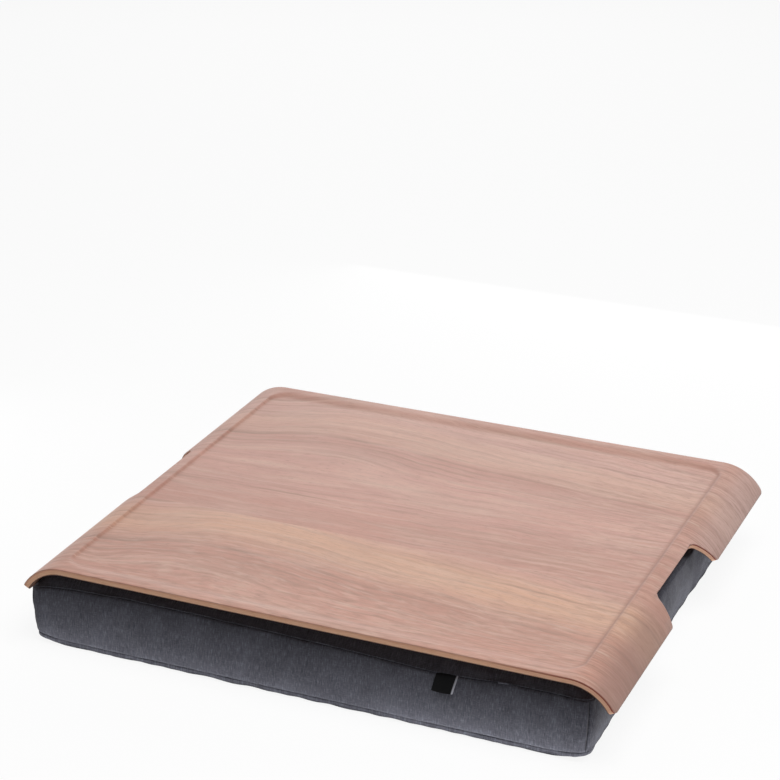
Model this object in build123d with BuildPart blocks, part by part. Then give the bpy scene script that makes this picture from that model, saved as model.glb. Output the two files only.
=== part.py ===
# Lap tray with cushion: a pressed plywood tray on a soft box cushion.
# Origin: centre of the footprint, on the surface the cushion stands on.
# X runs along the tray, to its right end. Y runs to the back. Z is up. Millimetres and degrees.

import os
from math import cos, degrees, radians, sin

from build123d import *

os.makedirs("parts", exist_ok=True)

# The whole object
overall_height = 66  # from the surface it stands on to the tray's rim
tray_length = 460  # from one bent end to the other
tray_depth = 380
overrun = 20  # how far cutting forms run past what they cut

# The board: five plies, from the top down
face_veneer_thickness = 0.6
upper_cross_thickness = 1.0
core_thickness = 2.0
lower_cross_thickness = 0.8
backing_thickness = 0.6

# Both ends bend down round this arc, measured on the upper surface
bend_radius = 38
bend_angle = 63
end_corner_radius = 4

# The field pressed down inside the rim
recess_depth = 2
rim_width = 6  # flat rim along the front and the back
recess_slope = 8  # width of the soft step between rim and field
recess_into_bend = 4  # how far the step starts past the flat, at the ends
recess_corner_radius = 20
slope_run_shares = (0, 0.3, 0.7, 1)
slope_drop_shares = (0, 0.25, 0.75, 1)

# Hand notch in each bent end, measured along the upper surface
notch_depth = 25
notch_floor_width = 92
notch_mouth_width = 116
notch_corner_radius = 8
notch_mouth_radius = 3

# Hook and loop tape between tray and cushion
hook_thickness = 1.0
loop_thickness = 1.2
tape_width = 25
tape_length = 80
tape_side_share = 0.34  # how far out a tape's middle lies, as a share of the cushion's length
tape_depth_share = 0.58  # and as a share of the cushion's depth from the tray's middle
tape_corner_radius = 3

# The cushion's seams lie this far inside the tray's outline; the tray is pressed on a little off its middle
left_margin = 4
right_margin = 19
front_margin = 3
back_margin = 6
cushion_corner_radius = 8
cover_thickness = 1.0
liner_thickness = 0.6
layer_gap = 0.3  # between cover, liner and filling
back_pocket = 3  # free space behind the zip

# The cushion's form, from the base up
base_height = 5  # bottom seam
base_run = 3  # how far the base draws in below the seam
base_rise_shares = (0, 0.15, 0.45, 1)
base_run_shares = (1, 0.42, 0.14, 0)
band_bulge = 1.5
band_rise_shares = (0.25, 0.5, 0.75)
band_bulge_shares = (0.75, 1, 0.75)
crown_height = 15.3  # from the top seam up to the loop tapes
crown_run = 36  # how far the crown draws in above the seam
crown_rise_shares = (0, 0.1, 0.4, 0.7, 0.93, 1)
crown_run_shares = (0, 0.07, 0.17, 0.35, 0.65, 1)
side_draw_in = 3  # how far the end seams pull in between the corners
front_draw_in = 1.5
band_draw_share = 0.5  # what is left of the draw-in where the bands bulge

# Label sewn into the front's top seam
label_width = 15
label_length = 14
label_thickness = 0.8
label_gap = 0.2
label_place = 105.5  # from the tray's middle

# Zip in the back band
zip_end_distance = 70.5  # from the cushion's end to the closed coils
zip_height = 24  # above the base
window_height = 11
window_margin = 4  # the window runs past the coils at each end
zip_tape_height = 11
zip_tape_thickness = 0.6
zip_tape_margin = 10
coil_height = 1.8
coil_thickness = 1.2
stop_length = 3
slider_length = 11
slider_wall = 1.0
slider_clearance = 0.25
slider_corner_radius = 1.5
lug_thickness = 0.8
lug_length = 2.6
lug_rise = 2.3
pin_radius = 0.5
pin_clearance = 0.05
pin_height = 1.25  # pin's axis above the slider's plate
knuckle_wall = 0.5
knuckle_side_clearance = 0.2
pull_length = 24
pull_width = 5.4
pull_thickness = 1.0
pull_neck = 2.4
pull_hole_length = 9
pull_hole_width = 2.2
pull_corner_radius = 1.8

# What follows from these sizes
cushion_length = tray_length - left_margin - right_margin
cushion_shift = (left_margin - right_margin) / 2
cushion_front_depth = tray_depth / 2 - front_margin
cushion_back_depth = tray_depth / 2 - back_margin
board_thickness = (face_veneer_thickness + upper_cross_thickness + core_thickness
                   + lower_cross_thickness + backing_thickness)
bend_start = tray_length / 2 - bend_radius * sin(radians(bend_angle))
bend_centre_height = overall_height - bend_radius
recess_half_length = bend_start + recess_into_bend
recess_half_depth = tray_depth / 2 - rim_width
field_underside = overall_height - board_thickness - recess_depth
hook_face = field_underside - hook_thickness
plateau_height = hook_face - loop_thickness
top_seam = plateau_height - crown_height
band_height = top_seam - base_height  # from the bottom seam to the top seam
zip_length = cushion_length - 2 * zip_end_distance  # length of the closed coils


def save(part, name):
    part.label = name
    export_step(part, f"parts/{name}.step")
    print(f"{name}: {part.volume:.0f} mm3")


def bend_point(depth, angle, side):
    """A point of the board's profile, this deep under its upper surface and this far round the bend."""
    reach = bend_radius - depth
    return (side * (bend_start + reach * sin(radians(angle))), bend_centre_height + reach * cos(radians(angle)))


def bend_arc(depth, side, first, last):
    ThreePointArc(bend_point(depth, first, side), bend_point(depth, (first + last) / 2, side),
                  bend_point(depth, last, side))


def recess_form(top):
    """The pressed field as a solid whose upper face is at this height."""
    with BuildPart() as form:
        for run_share, drop_share in zip(slope_run_shares, slope_drop_shares):
            run = recess_slope * run_share
            with BuildSketch(Plane.XY.offset(top - recess_depth * drop_share)):
                RectangleRounded(2 * (recess_half_length - run), 2 * (recess_half_depth - run),
                                 recess_corner_radius - run)
        loft(ruled=True)
    return form.part


def notch_form(side):
    """What the hand notch takes out of one bent end, square to the board at the notch's middle."""
    half_angle = degrees(notch_depth / bend_radius) / 2
    lean = radians(bend_angle - half_angle)
    mouth = bend_radius * sin(radians(half_angle))
    flare = (notch_mouth_width - notch_floor_width) / (4 * mouth)
    outer = mouth + overrun
    outer_half = notch_mouth_width / 2 + overrun * flare
    cut_plane = Plane(origin=(side * bend_start, 0, bend_centre_height),
                      x_dir=(side * cos(lean), 0, -sin(lean)), z_dir=(side * sin(lean), 0, cos(lean)))
    with BuildPart() as form:
        with BuildSketch(cut_plane) as outline:
            with BuildLine():
                Polyline((-mouth, -notch_floor_width / 2), (outer, -outer_half), (outer, outer_half),
                         (-mouth, notch_floor_width / 2), close=True)
            make_face()
            fillet(outline.vertices().group_by(Axis((0, 0, 0), cut_plane.x_dir))[0], notch_corner_radius)
        extrude(amount=bend_radius + overrun)
    return form.part


def at_the_ends(edge):
    """Whether an edge runs through the board's thickness at a bent end's rim."""
    return edge.length < 2 * board_thickness and abs(edge.center().X) > tray_length / 2 - board_thickness


def beside_notch(edge):
    return abs(edge.center().Y) < (notch_mouth_width + tray_depth) / 4


notches = [notch_form(side) for side in (-1, 1)]


def make_ply(name, upper, lower):
    """One layer of the board between two depths under the rim's upper surface."""
    field_above = recess_form(overall_height - upper)
    field_below = recess_form(overall_height - lower)
    with BuildPart() as ply:
        with BuildSketch(Plane.XZ):
            with BuildLine():
                Line(bend_point(upper, 0, -1), bend_point(upper, 0, 1))
                bend_arc(upper, 1, 0, bend_angle)
                Line(bend_point(upper, bend_angle, 1), bend_point(lower, bend_angle, 1))
                bend_arc(lower, 1, bend_angle, 0)
                Line(bend_point(lower, 0, 1), bend_point(lower, 0, -1))
                bend_arc(lower, -1, 0, bend_angle)
                Line(bend_point(lower, bend_angle, -1), bend_point(upper, bend_angle, -1))
                bend_arc(upper, -1, bend_angle, 0)
            make_face()
        extrude(amount=tray_depth / 2, both=True)
        add(field_below)
        add(field_above, mode=Mode.SUBTRACT)
        for notch in notches:
            add(notch, mode=Mode.SUBTRACT)
        end_edges = ply.edges().filter_by(GeomType.LINE).filter_by(at_the_ends)
        fillet(end_edges.filter_by(beside_notch), notch_mouth_radius)
        end_edges = ply.edges().filter_by(GeomType.LINE).filter_by(at_the_ends)
        fillet([edge for edge in end_edges if not beside_notch(edge)], end_corner_radius)
    save(ply.part, name)


depth_so_far = 0
for ply_name, ply_thickness in (("walnut_face_veneer", face_veneer_thickness),
                                ("upper_cross_ply", upper_cross_thickness),
                                ("core_ply", core_thickness),
                                ("lower_cross_ply", lower_cross_thickness),
                                ("backing_veneer", backing_thickness)):
    make_ply(ply_name, depth_so_far, depth_so_far + ply_thickness)
    depth_so_far += ply_thickness

# Hook tapes glued under the field, and the loop tapes they meet on the cushion
tape_number = 0
for tape_x in (-cushion_length * tape_side_share, cushion_length * tape_side_share):
    for tape_y in (-cushion_front_depth * tape_depth_share, cushion_back_depth * tape_depth_share):
        tape_number += 1
        for tape_kind, tape_top, tape_thickness in (("hook", field_underside, hook_thickness),
                                                    ("loop", hook_face, loop_thickness)):
            with BuildPart() as tape:
                with BuildSketch(Plane.XY.offset(tape_top)):
                    with Locations((tape_x, tape_y)):
                        RectangleRounded(tape_width, tape_length, tape_corner_radius)
                extrude(amount=-tape_thickness)
            save(tape.part, f"{tape_kind}_tape_{tape_number}")


def cushion_sections():
    """Height, inset from the seam line and share of the draw-in of each level, from the base up."""
    levels = [(base_height * rise, base_run * run, 1) for rise, run in zip(base_rise_shares, base_run_shares)]
    levels += [(base_height + band_height * rise, -band_bulge * bulge, band_draw_share)
               for rise, bulge in zip(band_rise_shares, band_bulge_shares)]
    levels += [(top_seam + crown_height * rise, crown_run * run, 1)
               for rise, run in zip(crown_rise_shares, crown_run_shares)]
    return levels


def cushion_form(inside, back_inside=0):
    """The cushion's form, this far inside its outer surface."""
    corner = cushion_corner_radius - inside
    diagonal = corner * (1 - cos(radians(45)))
    squeeze = (plateau_height - 2 * inside) / plateau_height
    with BuildPart() as form:
        for height, inset, draw in cushion_sections():
            left = cushion_shift - cushion_length / 2 + inset + inside
            right = cushion_shift + cushion_length / 2 - inset - inside
            front = -cushion_front_depth + inset + inside
            back = cushion_back_depth - max(inset, 0) - inside - back_inside
            middle = (front + back) / 2
            side_draw = side_draw_in * draw
            with BuildSketch(Plane.XY.offset(inside + height * squeeze)):
                with BuildLine():
                    ThreePointArc((left + corner, front), (cushion_shift, front + front_draw_in * draw),
                                  (right - corner, front))
                    ThreePointArc((right - corner, front), (right - diagonal, front + diagonal),
                                  (right, front + corner))
                    ThreePointArc((right, front + corner), (right - side_draw, middle), (right, back - corner))
                    ThreePointArc((right, back - corner), (right - diagonal, back - diagonal),
                                  (right - corner, back))
                    Line((right - corner, back), (left + corner, back))
                    ThreePointArc((left + corner, back), (left + diagonal, back - diagonal),
                                  (left, back - corner))
                    ThreePointArc((left, back - corner), (left + side_draw, middle), (left, front + corner))
                    ThreePointArc((left, front + corner), (left + diagonal, front + diagonal),
                                  (left + corner, front))
                make_face()
        loft(ruled=True)
    return form.part


cover_outside = cushion_form(0)
cover_inside = cushion_form(cover_thickness)
liner_inset = cover_thickness + layer_gap
liner_outside = cushion_form(liner_inset, back_pocket)
liner_inside = cushion_form(liner_inset + liner_thickness, back_pocket)
filling_form = cushion_form(liner_inset + liner_thickness + layer_gap, back_pocket)

with BuildPart() as cover:
    add(cover_outside)
    add(cover_inside, mode=Mode.SUBTRACT)

with BuildPart() as cover_top_panel:
    add(cover.part)
    split(bisect_by=Plane.XY.offset(top_seam), keep=Keep.TOP)
save(cover_top_panel.part, "cover_top_panel")

with BuildPart() as cover_bottom_panel:
    add(cover.part)
    split(bisect_by=Plane.XY.offset(base_height), keep=Keep.BOTTOM)
save(cover_bottom_panel.part, "cover_bottom_panel")

with BuildPart() as all_bands:
    add(cover.part)
    split(bisect_by=Plane.XY.offset(top_seam), keep=Keep.BOTTOM)
    split(bisect_by=Plane.XY.offset(base_height), keep=Keep.TOP)

# The four corner seams lie on diagonals through the corners
seam_left = cushion_shift - cushion_length / 2
seam_right = cushion_shift + cushion_length / 2
seam_reach = 3 * cushion_corner_radius
outer_left, inner_left = seam_left - overrun, seam_left + seam_reach
outer_right, inner_right = seam_right + overrun, seam_right - seam_reach
outer_front, inner_front = -cushion_front_depth - overrun, -cushion_front_depth + seam_reach
outer_back, inner_back = cushion_back_depth + overrun, cushion_back_depth - seam_reach
band_regions = {
    "front_band": ((outer_left, outer_front), (outer_right, outer_front),
                   (inner_right, inner_front), (inner_left, inner_front)),
    "right_band": ((outer_right, outer_front), (outer_right, outer_back),
                   (inner_right, inner_back), (inner_right, inner_front)),
    "left_band": ((outer_left, outer_back), (outer_left, outer_front),
                  (inner_left, inner_front), (inner_left, inner_back)),
    "back_band": ((outer_right, outer_back), (outer_left, outer_back),
                  (inner_left, inner_back), (inner_right, inner_back)),
}


def make_band(corners):
    """The stretch of band between two corner seams."""
    with BuildPart() as band:
        add(all_bands.part)
        with BuildSketch(Plane.XY):
            Polygon(*corners, align=None)
        extrude(amount=plateau_height, mode=Mode.INTERSECT)
    return band.part


for band_name in ("front_band", "right_band", "left_band"):
    save(make_band(band_regions[band_name]), band_name)

# The back band is two strips, sewn together past the ends of the zip's window
whole_back_band = make_band(band_regions["back_band"])
for strip_name, strip_side in (("back_band_lower", Keep.BOTTOM), ("back_band_upper", Keep.TOP)):
    with BuildPart() as strip:
        add(whole_back_band)
        split(bisect_by=Plane.XY.offset(zip_height), keep=strip_side)
        with Locations((cushion_shift, cushion_back_depth, zip_height)):
            Box(zip_length + 2 * window_margin, overrun, window_height, mode=Mode.SUBTRACT)
    save(strip.part, strip_name)

# The inner cushion: a liner in two halves round the beads
with BuildPart() as liner:
    add(liner_outside)
    add(liner_inside, mode=Mode.SUBTRACT)
for liner_name, liner_side in (("liner_lower", Keep.BOTTOM), ("liner_upper", Keep.TOP)):
    with BuildPart() as liner_half:
        add(liner.part)
        split(bisect_by=Plane.XY.offset(base_height + band_height / 2), keep=liner_side)
    save(liner_half.part, liner_name)

with BuildPart() as bead_filling:
    add(filling_form)
save(bead_filling.part, "bead_filling")

# The label hangs from the top seam and lies along the front band
label_back = cushion_form(-label_gap)
label_front = cushion_form(-label_gap - label_thickness)
with BuildPart() as side_label:
    add(label_front)
    add(label_back, mode=Mode.SUBTRACT)
    with Locations((label_place, -cushion_front_depth, top_seam - label_length / 2)):
        Box(label_width, overrun, label_length, mode=Mode.INTERSECT)
save(side_label.part, "side_label")

# Zip: the tapes lie behind the band, the coils stand on the tapes
tape_face = cushion_back_depth - cover_thickness
coil_face = tape_face + coil_thickness
for half_name, half_side in (("lower", -1), ("upper", 1)):
    with BuildPart() as zip_tape:
        with BuildSketch(Plane.XZ.offset(-tape_face)):
            with Locations((cushion_shift, zip_height + half_side * zip_tape_height / 2)):
                Rectangle(zip_length + 2 * zip_tape_margin, zip_tape_height)
        extrude(amount=zip_tape_thickness)
    save(zip_tape.part, f"zip_tape_{half_name}")
    with BuildPart() as zip_coil:
        with BuildSketch(Plane.XZ.offset(-coil_face)):
            with Locations((cushion_shift, zip_height + half_side * coil_height / 2)):
                Rectangle(zip_length, coil_height)
        extrude(amount=coil_thickness)
    save(zip_coil.part, f"zip_coil_{half_name}")

for stop_name, stop_side in (("zip_bottom_stop", -1), ("zip_top_stop", 1)):
    with BuildPart() as zip_stop:
        with BuildSketch(Plane.XZ.offset(-coil_face)):
            with Locations((cushion_shift + stop_side * (zip_length + stop_length) / 2, zip_height)):
                Rectangle(stop_length, 2 * coil_height)
        extrude(amount=coil_thickness)
    save(zip_stop.part, stop_name)

# Slider: a plate with two flanges over the coils, two lugs and the pin for the pull
slider_x = cushion_shift + (zip_length - slider_length) / 2 - slider_clearance
plate_under = coil_face + slider_clearance
plate_top = plate_under + slider_wall
channel_height = 2 * (coil_height + slider_clearance)
slider_height = channel_height + 2 * slider_wall
pin_y = plate_top + pin_height
knuckle_radius = pin_radius + pin_clearance + knuckle_wall
knuckle_width = slider_height - 2 * lug_thickness - 2 * knuckle_side_clearance
with BuildPart() as zip_slider:
    with BuildSketch(Plane.XZ.offset(-plate_top)):
        with Locations((slider_x, zip_height)):
            RectangleRounded(slider_length, slider_height, slider_corner_radius)
    extrude(amount=slider_wall + coil_thickness)
    with Locations((slider_x, plate_under - coil_thickness / 2, zip_height)):
        Box(slider_length + overrun, coil_thickness, channel_height, mode=Mode.SUBTRACT)
    for lug_side in (-1, 1):
        with Locations((slider_x, plate_top + lug_rise / 2,
                        zip_height + lug_side * (slider_height - lug_thickness) / 2)):
            Box(lug_length, lug_rise, lug_thickness)
    with Locations((slider_x, pin_y, zip_height)):
        Cylinder(pin_radius, slider_height - lug_thickness)
save(zip_slider.part, "zip_slider")

# Pull tab: a knuckle on the slider's pin and a flat tab with a long hole
with BuildPart() as zip_pull:
    with Locations((slider_x, pin_y, zip_height)):
        Cylinder(knuckle_radius, knuckle_width)
    with BuildSketch(Plane.XZ.offset(-(pin_y + pull_thickness / 2))) as pull_outline:
        with Locations((slider_x + pull_length / 2, zip_height)):
            Rectangle(pull_length, knuckle_width)
        with Locations((slider_x + knuckle_radius + pull_neck, zip_height)):
            RectangleRounded(pull_length - knuckle_radius - pull_neck, pull_width, pull_corner_radius,
                             align=(Align.MIN, Align.CENTER))
        with Locations((slider_x + pull_length - pull_hole_length, zip_height)):
            SlotOverall(pull_hole_length, pull_hole_width, mode=Mode.SUBTRACT)
    extrude(amount=pull_thickness)
    with Locations((slider_x, pin_y, zip_height)):
        Cylinder(pin_radius + pin_clearance, knuckle_width + overrun, mode=Mode.SUBTRACT)
save(zip_pull.part, "zip_pull")
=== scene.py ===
import bmesh
import bpy
import math
from mathutils import Matrix, Vector, noise
from mathutils.bvhtree import BVHTree


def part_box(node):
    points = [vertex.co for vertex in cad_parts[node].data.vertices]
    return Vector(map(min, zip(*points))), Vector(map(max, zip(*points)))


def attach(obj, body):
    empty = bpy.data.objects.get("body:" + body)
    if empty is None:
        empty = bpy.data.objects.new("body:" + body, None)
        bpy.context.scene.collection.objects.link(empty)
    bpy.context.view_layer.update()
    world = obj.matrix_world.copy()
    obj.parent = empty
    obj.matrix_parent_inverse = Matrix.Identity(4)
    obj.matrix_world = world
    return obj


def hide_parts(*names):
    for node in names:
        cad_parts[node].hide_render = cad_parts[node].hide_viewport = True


# Lap tray with cushion: a pressed board faced in walnut, held on a soft box cushion.
# Sizes are in millimetres until mm turns them into metres. Colours are sRGB hex.
mm = 0.001

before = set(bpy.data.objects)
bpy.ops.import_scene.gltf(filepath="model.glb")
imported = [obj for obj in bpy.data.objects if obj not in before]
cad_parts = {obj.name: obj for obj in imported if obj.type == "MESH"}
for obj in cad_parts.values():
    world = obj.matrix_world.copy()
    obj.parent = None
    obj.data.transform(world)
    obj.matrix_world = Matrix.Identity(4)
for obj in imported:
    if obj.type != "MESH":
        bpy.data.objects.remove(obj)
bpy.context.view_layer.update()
print("frame loaded,", len(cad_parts), "nodes")


def linearColour(hexText):
    shares = [int(hexText[i:i + 2], 16) / 255 for i in (1, 3, 5)]
    return [c / 12.92 if c <= 0.04045 else ((c + 0.055) / 1.055) ** 2.4 for c in shares] + [1]


def setInputs(tree, node, inputs):
    # each input gets a value, or the socket that feeds it; a node feeds by its first output
    for key, value in inputs.items():
        if isinstance(value, bpy.types.Node):
            value = value.outputs[0]
        if isinstance(value, bpy.types.NodeSocket):
            tree.links.new(value, node.inputs[key])
        else:
            node.inputs[key].default_value = value


def addNode(tree, kind, settings=None, inputs=None):
    node = tree.nodes.new("ShaderNode" + kind)
    for name, value in (settings or {}).items():
        setattr(node, name, value)
    setInputs(tree, node, inputs or {})
    return node


# Node types that many materials use, with their settings
colourMix = ("Mix", {"data_type": "RGBA"})
valueMix = ("Mix", {"data_type": "FLOAT"})
multiply = ("Math", {"operation": "MULTIPLY"})
multiplyAdd = ("Math", {"operation": "MULTIPLY_ADD"})
subtract = ("Math", {"operation": "SUBTRACT"})
larger = ("Math", {"operation": "MAXIMUM"})
plainRange = ("MapRange", None)
smoothRange = ("MapRange", {"interpolation_type": "SMOOTHSTEP"})


def emptyTree(owner):
    owner.use_nodes = True
    owner.node_tree.nodes.clear()
    return owner.node_tree


def startMaterial(name, inputs):
    # a material whose shader has these values and nothing else yet
    material = bpy.data.materials.new(name)
    tree = emptyTree(material)
    shader = addNode(tree, "BsdfPrincipled", None, inputs)
    addNode(tree, "OutputMaterial", None, {"Surface": shader})
    return material, tree, shader


def finishMaterial(tree, shader, colour, height=None, strength=0, depth=0, invert=False):
    # the shader gets its colour, and a bump this deep in millimetres where there is a height
    setInputs(tree, shader, {"Base Color": colour})
    if height is not None:
        bump = addNode(tree, "Bump", {"invert": invert},
                       {"Height": height, "Strength": strength, "Distance": depth * mm})
        setInputs(tree, shader, {"Normal": bump})


def layTint(tree, base, tint, source, low=0.0, high=1.0, most=1.0, curve="LINEAR"):
    # the tint covers the base up to this share where the source goes from low to high
    share = addNode(tree, "MapRange", {"interpolation_type": curve},
                    {"Value": source, "From Min": low, "From Max": high, "To Max": most})
    return addNode(tree, *colourMix, {0: share, 6: base, 7: tint}).outputs[2]


def makePatterned(name, look):
    # a surface with one fine pattern, which mixes its two colours and may stand up in relief
    material, tree, shader = startMaterial(name, look["shader"])
    place = addNode(tree, "TexCoord").outputs["Object"]
    if "turn" in look:
        place = addNode(tree, "Mapping", None, {"Vector": place, "Rotation": look["turn"]})
    kind, inputs, output = look["pattern"]
    settings = {"bands_direction": look["direction"]} if "direction" in look else None
    pattern = addNode(tree, kind, settings, {"Vector": place, **inputs}).outputs[output]
    first, second = (linearColour(tone) for tone in look["colours"])
    colour = layTint(tree, first, second, pattern, 0.0, look.get("span", 1.0), look.get("most", 1.0))
    if "relief" in look:
        finishMaterial(tree, shader, colour, pattern, *look["relief"])
    else:
        finishMaterial(tree, shader, colour)
    return material


def setStops(ramp, stops, interpolation):
    # stops are (place from 0 to 1, colour as hex or one grey level)
    ramp.interpolation = interpolation
    while len(ramp.elements) < len(stops):
        ramp.elements.new(0.5)
    for element, (place, tone) in zip(ramp.elements, stops):
        element.position = place
        element.color = linearColour(tone) if isinstance(tone, str) else (tone, tone, tone, 1)


def setCurve(node, points):
    curve = node.mapping.curves[0]
    while len(curve.points) < len(points):
        curve.points.new(0.5, 0.5)
    for point, place in zip(curve.points, points):
        point.location = place
    node.mapping.update()


def linkObject(name, data):
    # puts a mesh, lamp or camera in the scene
    made = bpy.data.objects.new(name, data)
    bpy.context.scene.collection.objects.link(made)
    return made


def meshOf(name, bm):
    mesh = bpy.data.meshes.new(name)
    bm.to_mesh(mesh)
    return mesh


def addPiece(name, bm, material, body, replaced=()):
    mesh = meshOf(name, bm)
    bm.free()
    mesh.materials.append(material)
    mesh.shade_smooth()
    piece = linkObject(name, mesh)
    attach(piece, body)
    if replaced:
        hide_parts(*replaced)
    return piece


def thicken(piece, thickness, offset):
    thick = piece.modifiers.new("thickness", "SOLIDIFY")
    thick.thickness = thickness * mm
    thick.offset = offset


def subdivide(piece, levels):
    smooth = piece.modifiers.new("roundedForm", "SUBSURF")
    smooth.levels = smooth.render_levels = levels
    return smooth


def addShape(bm, made, middle, size, turn=Matrix.Identity(4)):
    # sizes, turns and places a shape that was made round the origin
    matrix = Matrix.Translation(middle) @ turn @ Matrix.Diagonal((*size, 1))
    bmesh.ops.transform(bm, matrix=matrix, verts=made["verts"])
    return made["verts"]


def boxBetween(low, high):
    # a box that fills the space between two corners
    bm = bmesh.new()
    addShape(bm, bmesh.ops.create_cube(bm, size=1), (low + high) / 2, high - low)
    return bm


def mapCloth(bm, placeOf):
    # where on the flat cloth each corner lies, in metres
    layer = bm.loops.layers.uv.new("clothPlace")
    for face in bm.faces:
        for loop in face.loops:
            loop[layer].uv = placeOf(loop.vert.co)


def roundOff(bm, geom, offset, segments, affect="EDGES"):
    bmesh.ops.bevel(bm, geom=geom, offset=offset, offset_type="OFFSET", segments=segments, profile=0.5,
                    affect=affect, material=-1)


def cutAt(bm, places, axis):
    # cuts every face that a plane square to this axis meets
    normal = Vector((axis == "x", axis == "y", axis == "z"))
    for place in places:
        bmesh.ops.bisect_plane(bm, geom=bm.verts[:] + bm.edges[:] + bm.faces[:], dist=0.01,
                               plane_co=normal * place, plane_no=normal)


def evenPlaces(first, last, step):
    # places between two ends, about this far apart, without the ends
    count = max(1, round((last - first) / step))
    return [first + (last - first) * i / count for i in range(1, count)]


def smoothShare(value):
    value = min(1, max(0, value))
    return value * value * (3 - 2 * value)


def alongTable(value, points):
    # straight lines between the table's points
    for (low, first), (high, last) in zip(points, points[1:]):
        if value <= high:
            return first + max(0, (value - low) / (high - low)) * (last - first)
    return points[-1][1]


# The camera stands where the photograph was taken from
cameraPlace = {
    "place": (612.6, -1462.0, 830.0), "azimuth": 23.27, "elevation": 22.64, "roll": 0.16,
    "lens": 105.25, "sensor": 36, "clipEnd": 100,
}


def addCamera():
    azimuth, elevation, roll = (math.radians(cameraPlace[k]) for k in ("azimuth", "elevation", "roll"))
    back = Vector((math.sin(azimuth) * math.cos(elevation), -math.cos(azimuth) * math.cos(elevation),
                   math.sin(elevation)))
    right = Vector((math.cos(azimuth), math.sin(azimuth), 0))
    up = back.cross(right)
    turnedRight = right * math.cos(roll) + up * math.sin(roll)
    turnedUp = up * math.cos(roll) - right * math.sin(roll)
    data = bpy.data.cameras.new("photoCamera")
    data.sensor_width = cameraPlace["sensor"]
    data.lens = cameraPlace["lens"]
    data.clip_end = cameraPlace["clipEnd"]
    camera = linkObject("photoCamera", data)
    turn = Matrix((turnedRight, turnedUp, back)).transposed().to_4x4()
    camera.matrix_world = Matrix.Translation(Vector(cameraPlace["place"]) * mm) @ turn
    bpy.context.scene.camera = camera


addCamera()
print("camera placed")

# Studio: a white floor, an even white surround, two broad soft lamps, three strips on the floor that lift
# the foot of the cushion as white cards do, and white cards at the left and behind
studio = {
    "floorColour": "#FFFFFF", "bounceColour": "#A8A8A8", "floorRadius": 9000, "floorSegments": 96,
    "floorHeight": -0.2, "floorWhiteShare": 0.9, "surround": 0.10, "surroundColour": "#FFFFFF",
    "lamps": (
        # name, place, target, size, power
        ("keyLamp", (650, -350, 1950), (0, 0, 0), (1350, 1350), 34.5),
        ("rearLamp", (-750, 1700, 900), (0, 0, 0), (1300, 1300), 5),
        ("frontLeftStrip", (-85, -199.5, 0.4), (-85, -199.5, 90), (290, 20), 0.032),
        ("frontRightStrip", (150, -199.5, 0.4), (150, -199.5, 90), (180, 20), 0.03),
        ("rightStrip", (224, -10, 0.4), (224, -10, 90), (20, 360), 0.052),
        ("leftCard", (-520, -60, 120), (-230, -60, 50), (500, 240), 0.3),
        ("rearCard", (0, 640, 150), (0, 190, 30), (700, 300), 0.5),
    ),
    "leastSeenPower": 1,
}


def addLamp(name, place, target, size, power):
    data = bpy.data.lights.new(name, "AREA")
    data.shape = "RECTANGLE"
    data.size, data.size_y = (side * mm for side in size)
    data.energy = power
    lamp = linkObject(name, data)
    lamp.location = Vector(place) * mm
    lamp.rotation_euler = (Vector(target) - Vector(place)).to_track_quat("-Z", "Y").to_euler()
    # the strips and cards light the object and aren't seen themselves
    lamp.visible_camera = lamp.visible_glossy = power > studio["leastSeenPower"]


def seenRays(tree):
    # 1 for rays that the eye follows, straight, mirrored or through glass
    path = addNode(tree, "LightPath").outputs
    direct = addNode(tree, *larger, {0: path["Is Camera Ray"], 1: path["Is Glossy Ray"]})
    return addNode(tree, *larger, {0: direct, 1: path["Is Transmission Ray"]})


def buildFloor():
    bm = bmesh.new()
    bmesh.ops.create_circle(bm, cap_ends=True, radius=studio["floorRadius"] * mm,
                            segments=studio["floorSegments"])
    mesh = meshOf("studioFloor", bm)
    bm.free()
    floor = linkObject("studioFloor", mesh)
    floor.location.z = studio["floorHeight"] * mm  # clear of the cushion's flat base
    material = bpy.data.materials.new("matt white paper")
    tree = emptyTree(material)
    seen = seenRays(tree)
    share = addNode(tree, *multiply, {0: seen, 1: studio["floorWhiteShare"]})
    tone = addNode(tree, *colourMix, {
        0: seen, 6: linearColour(studio["bounceColour"]), 7: linearColour(studio["floorColour"])})
    paper = addNode(tree, "BsdfDiffuse", None, {"Color": tone.outputs[2]})
    white = addNode(tree, "Emission", None, {"Color": (1, 1, 1, 1), "Strength": 1.0})
    mixed = addNode(tree, "MixShader", None, {0: share, 1: paper, 2: white})
    # the floor is clear from below, so that the underside can be looked at
    side = addNode(tree, "NewGeometry")
    clear = addNode(tree, "BsdfTransparent")
    mixed = addNode(tree, "MixShader", None, {0: side.outputs["Backfacing"], 1: mixed, 2: clear})
    addNode(tree, "OutputMaterial", None, {"Surface": mixed})
    mesh.materials.append(material)


def buildSurround():
    world = bpy.data.worlds.new("studioSurround")
    bpy.context.scene.world = world
    tree = emptyTree(world)
    level = addNode(tree, "MapRange", None,
                    {"Value": seenRays(tree), "To Min": studio["surround"], "To Max": 1.0})
    light = addNode(tree, "Background", None,
                    {"Color": linearColour(studio["surroundColour"]), "Strength": level})
    addNode(tree, "OutputWorld", None, {"Surface": light})


buildFloor()
buildSurround()
for lamp in studio["lamps"]:
    addLamp(*lamp)
bpy.context.scene.view_settings.view_transform = "Standard"
print("studio lit")

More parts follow.
